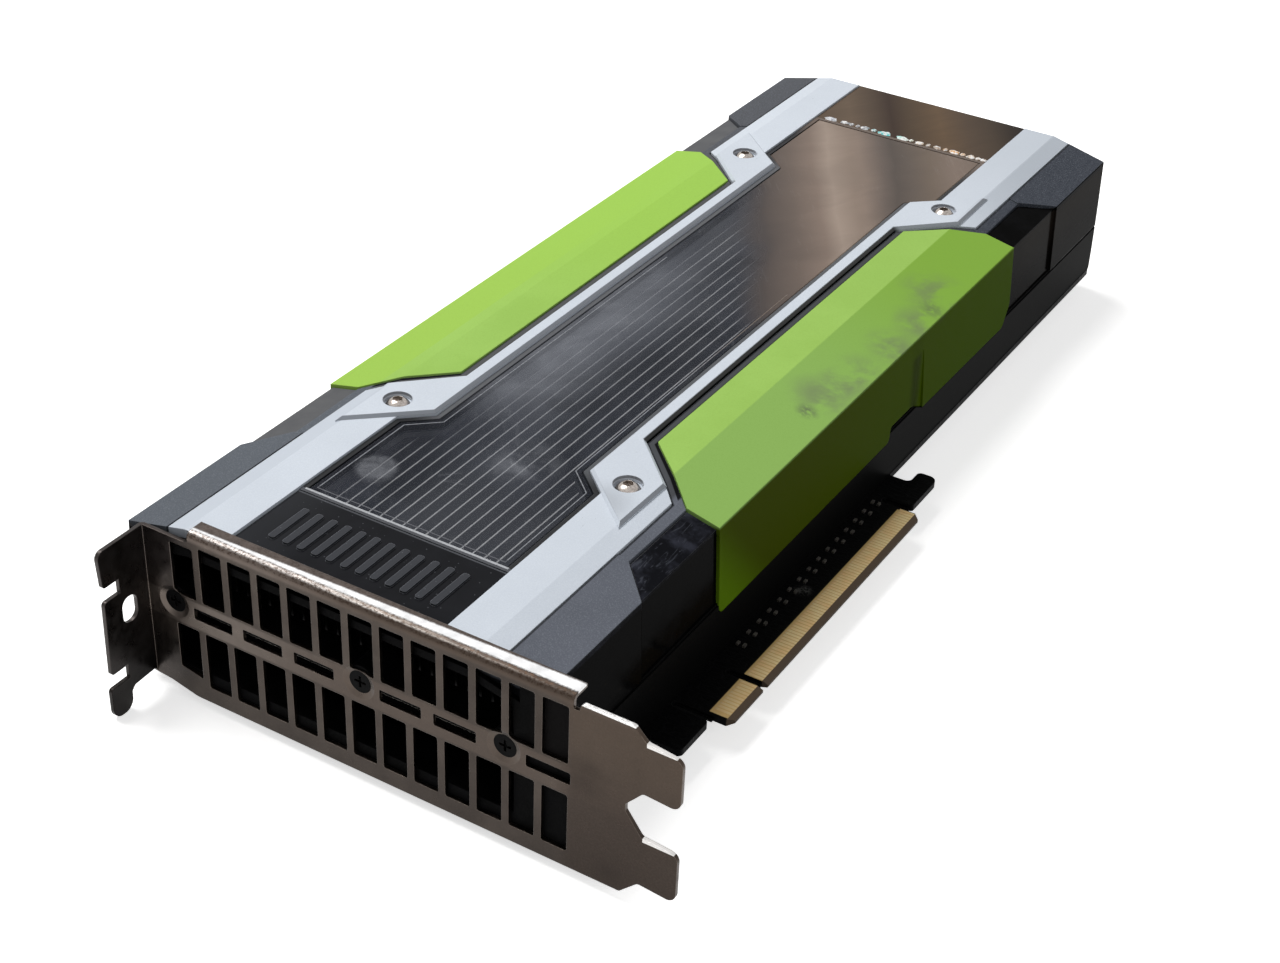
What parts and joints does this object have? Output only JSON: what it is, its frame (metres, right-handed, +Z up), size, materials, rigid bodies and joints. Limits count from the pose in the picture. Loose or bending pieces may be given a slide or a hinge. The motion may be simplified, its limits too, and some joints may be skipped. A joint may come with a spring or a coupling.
{
  "type": "passive accelerator card",
  "caption": "Long two-slot passive accelerator card: grilled steel bracket, finned duct under a clear window, silver rails, green side covers and a gold edge connector.",
  "frame": {"origin": "middle of the footprint, at the lowest point (the end of the bracket's screw-tab leg)", "axes": "+X from the screw tab to the bracket's feet, the side of the edge connector; +Y from the bracket to the tail, the longest extent; +Z up from the board to the window"},
  "size_m": [0.1256, 0.2824, 0.0419],
  "materials": {
    "nickel_steel": "nickel plated, semi-bright",
    "black_screw": "black oxide",
    "frame_plastic": "moulded satin",
    "board_mask": "black solder mask",
    "contact_gold": "hard gold plate",
    "grey_shell": "dark grey satin",
    "gloss_black": "polished black",
    "cover_green": "bright green satin",
    "rail_silver": "silver satin with fine fleck",
    "screw_steel": "plain steel",
    "frame_black": "black satin",
    "window_glass": "smoked clear plastic",
    "name_gloss": "polished black",
    "tail_gloss": "polished dark",
    "dot_foil": "bright foil",
    "cast_black": "black painted casting",
    "spreader_metal": "plated, matt",
    "fin_alu": "plain sheet",
    "package_green": "laminate",
    "die_dark": "polished silicon",
    "memory_dark": "moulded",
    "paste_grey": "paste",
    "choke_grey": "pressed powder",
    "pad_grey": "soft pad",
    "chip_black": "moulded",
    "can_alu": "can",
    "small_ceramic": "ceramic chips",
    "housing_black": "moulded nylon",
    "pin_brass": "tinned",
    "back_black": "matt black",
    "brace_steel": "plain steel"
  },
  "bodies": {
    "root": {"io_bracket": "nickel_steel", "bracket_screws": "black_screw", "front_frame": "frame_plastic", "circuit_board": "board_mask", "edge_contacts_top": "contact_gold", "edge_contacts_bottom": "contact_gold", "shroud_shell": "grey_shell", "side_panel_right": "gloss_black", "side_panel_left": "gloss_black", "side_cover_right": "cover_green", "side_cover_left": "cover_green", "rail_right": "rail_silver", "rail_left": "rail_silver", "cover_screws": "screw_steel", "window_frame": "frame_black", "window_panel": "window_glass", "name_plate": "name_gloss", "tail_plate": "tail_gloss", "tail_dots": "dot_foil", "lower_frame": "cast_black", "tail_blocks": "cast_black", "heat_spreader": "spreader_metal", "fin_stack": "fin_alu", "processor_package": "package_green", "processor_die": "die_dark", "memory_stacks": "memory_dark", "thermal_interface": "paste_grey", "power_chokes": "choke_grey", "thermal_pads": "pad_grey", "power_stages": "chip_black", "bulk_capacitors": "can_alu", "control_chips": "chip_black", "edge_small_parts": "small_ceramic", "power_connector": "housing_black", "power_pins": "pin_brass", "backplate": "back_black", "backplate_screws": "black_screw", "sink_brace": "brace_steel", "brace_screws": "screw_steel"}
  },
  "joints": []
}
